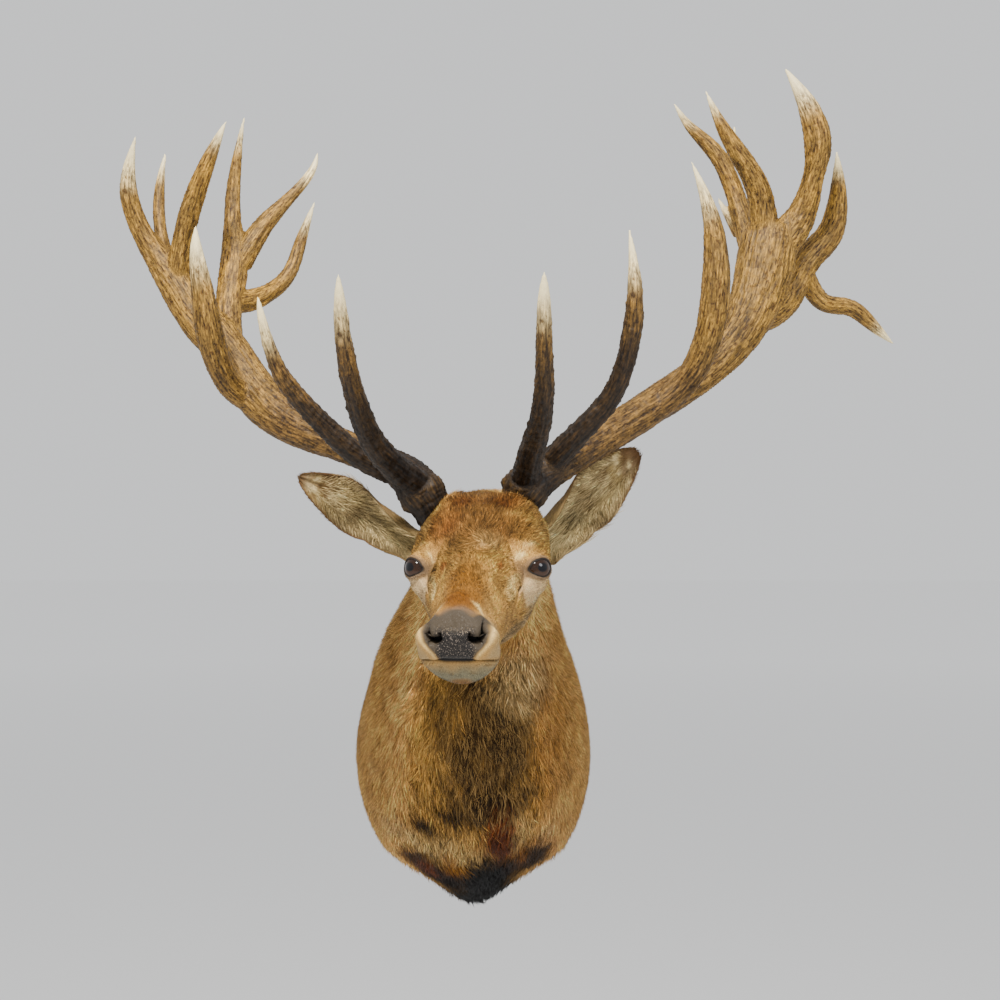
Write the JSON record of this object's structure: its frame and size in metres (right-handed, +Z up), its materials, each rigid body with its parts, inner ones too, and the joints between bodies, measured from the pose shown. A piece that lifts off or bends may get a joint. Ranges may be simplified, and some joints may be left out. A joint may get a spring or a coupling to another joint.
{
  "type": "red deer stag head mount",
  "caption": "Life-size shoulder mount of a red deer stag with branched crowned antlers, for hanging on a wall by the flat board in its back.",
  "frame": {"origin": "Centre of the wall outline, on the rear face of the backboard, which lies against the wall", "axes": "+Z is up, +Y points into the wall, the animal looks along -Y, and +X is on the viewer's right when facing the mount"},
  "size_m": [1.0759, 0.7674, 1.1747],
  "materials": {
    "body_coat": "Winter coat: smooth golden brown shoulders, shaggy dark mane on the throat, near-black underside",
    "face_coat": "Short flat hair: red-brown forehead, cream by the eyes, pale grey chin, bare dark wet nose",
    "ear_coat": "Short brown hair outside, long pale grey-tan hair in the bowl",
    "eye_glass": "Taxidermist's glass eye, dark brown iris, high gloss",
    "antler_bone": "Pearled and grooved antler bone, dark at the base, golden tan in the crown, polished ivory tips",
    "plywood": "Plain birch plywood backboard, let into the back",
    "hanger_steel": "Zinc-plated hanger plate"
  },
  "bodies": {
    "root": {"muzzle": "face_coat", "head": "face_coat", "lower_jaw": "face_coat", "neck": "body_coat", "chest": "body_coat", "ear_left": "ear_coat", "ear_right": "ear_coat", "eye_left": "eye_glass", "eye_right": "eye_glass", "antler_left_beam": "antler_bone", "antler_left_brow": "antler_bone", "antler_left_bez": "antler_bone", "antler_left_trez": "antler_bone", "antler_left_crown_outer": "antler_bone", "antler_left_crown_spike": "antler_bone", "antler_left_crown_front": "antler_bone", "antler_left_crown_stem": "antler_bone", "antler_left_crown_inner": "antler_bone", "antler_left_crown_side": "antler_bone", "antler_right_beam": "antler_bone", "antler_right_brow": "antler_bone", "antler_right_bez": "antler_bone", "antler_right_trez": "antler_bone", "antler_right_crown_front": "antler_bone", "antler_right_crown_rear": "antler_bone", "antler_right_crown_top": "antler_bone", "antler_right_crown_back": "antler_bone", "antler_right_crown_drop": "antler_bone", "backboard": "plywood", "hanger_plate": "hanger_steel"}
  },
  "joints": []
}
